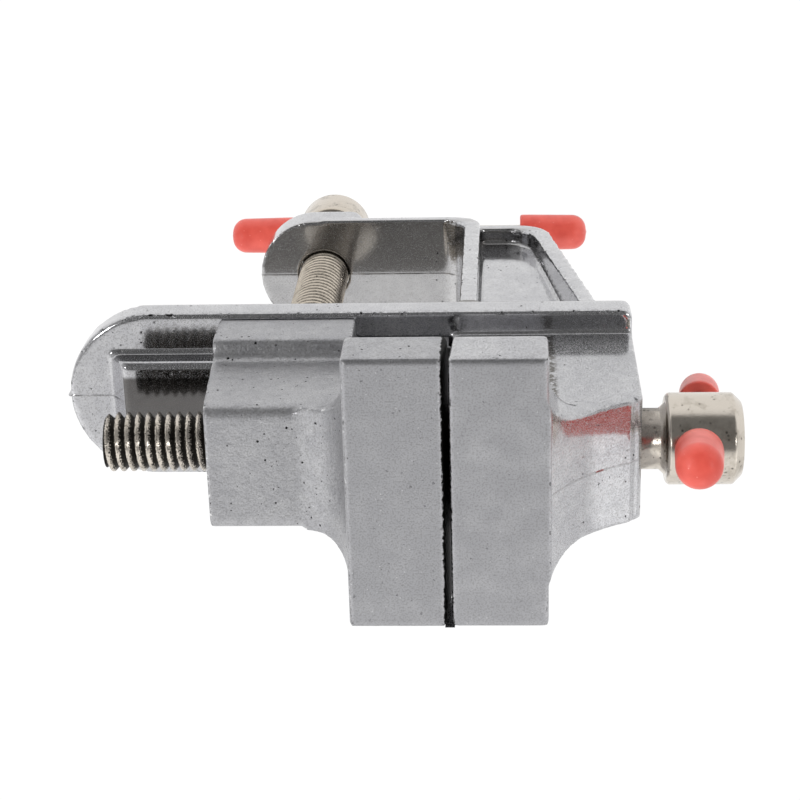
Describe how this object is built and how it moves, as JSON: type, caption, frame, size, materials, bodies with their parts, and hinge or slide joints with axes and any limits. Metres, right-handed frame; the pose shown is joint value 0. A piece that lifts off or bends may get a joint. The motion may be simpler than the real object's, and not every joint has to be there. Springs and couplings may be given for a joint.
{
  "type": "clamp-on table vise",
  "caption": "Small die-cast vise whose C-shaped arm clamps to a table edge; a sliding jaw and the clamp pad are each driven by a thread spindle with a sliding T-bar.",
  "frame": {"origin": "on the underside of the bed, where it sits on the table top, at the clamp spindle's axis", "axes": "+X along the main spindle from its free end to its head, +Z up through the jaws, +Y across the jaws; the picture looks down on the jaws with +Y upwards"},
  "size_m": [0.0694, 0.0274, 0.0852],
  "materials": {
    "cast_alloy": "as-cast satin, jaw tops ground",
    "plated_steel": "nickel plated",
    "red_plastic": "soft satin"
  },
  "bodies": {
    "vise_body": {"body_casting": "cast_alloy", "retaining_pin": "plated_steel"},
    "main_spindle": {"main_screw": "plated_steel"},
    "sliding_jaw": {"moving_jaw": "cast_alloy"},
    "main_handle": {"main_bar": "plated_steel", "main_cap_top": "red_plastic", "main_cap_low": "red_plastic"},
    "clamp_carrier": {"clamp_pad": "plated_steel"},
    "clamp_spindle": {"clamp_screw": "plated_steel"},
    "clamp_handle": {"clamp_bar": "plated_steel", "clamp_cap_front": "red_plastic", "clamp_cap_back": "red_plastic"}
  },
  "joints": [
    {"name": "main_spindle_turn", "type": "hinge", "parent": "vise_body", "child": "main_spindle", "pos_m": [0.0349, 0, 0.01525], "axis": [1, 0, 0], "range_deg": [-80, 9000]},
    {"name": "jaw_slide", "type": "slide", "parent": "vise_body", "child": "sliding_jaw", "axis": [-1, 0, 0], "range_m": [-0.00023, 0.02501]},
    {"name": "main_bar_slide", "type": "slide", "parent": "main_spindle", "child": "main_handle", "axis": [-0.0958, 0.2307, 0.9683], "range_m": [-0.0022, 0.0167]},
    {"name": "clamp_pad_lift", "type": "slide", "parent": "vise_body", "child": "clamp_carrier", "axis": [0, 0, 1], "range_m": [-0.02551, 0.00561]},
    {"name": "clamp_spindle_turn", "type": "hinge", "parent": "clamp_carrier", "child": "clamp_spindle", "pos_m": [0, 0, -0.0085], "axis": [0, 0, 1], "range_deg": [-9180, 2016]},
    {"name": "clamp_bar_slide", "type": "slide", "parent": "clamp_spindle", "child": "clamp_handle", "axis": [-1, 0, 0], "range_m": [0, 0.0193]}
  ],
  "couplings": [
    {"joint": "jaw_slide", "follows": "main_spindle_turn", "m_per_rad": 0.00015915},
    {"joint": "clamp_pad_lift", "follows": "clamp_spindle_turn", "m_per_rad": 0.00015915}
  ]
}
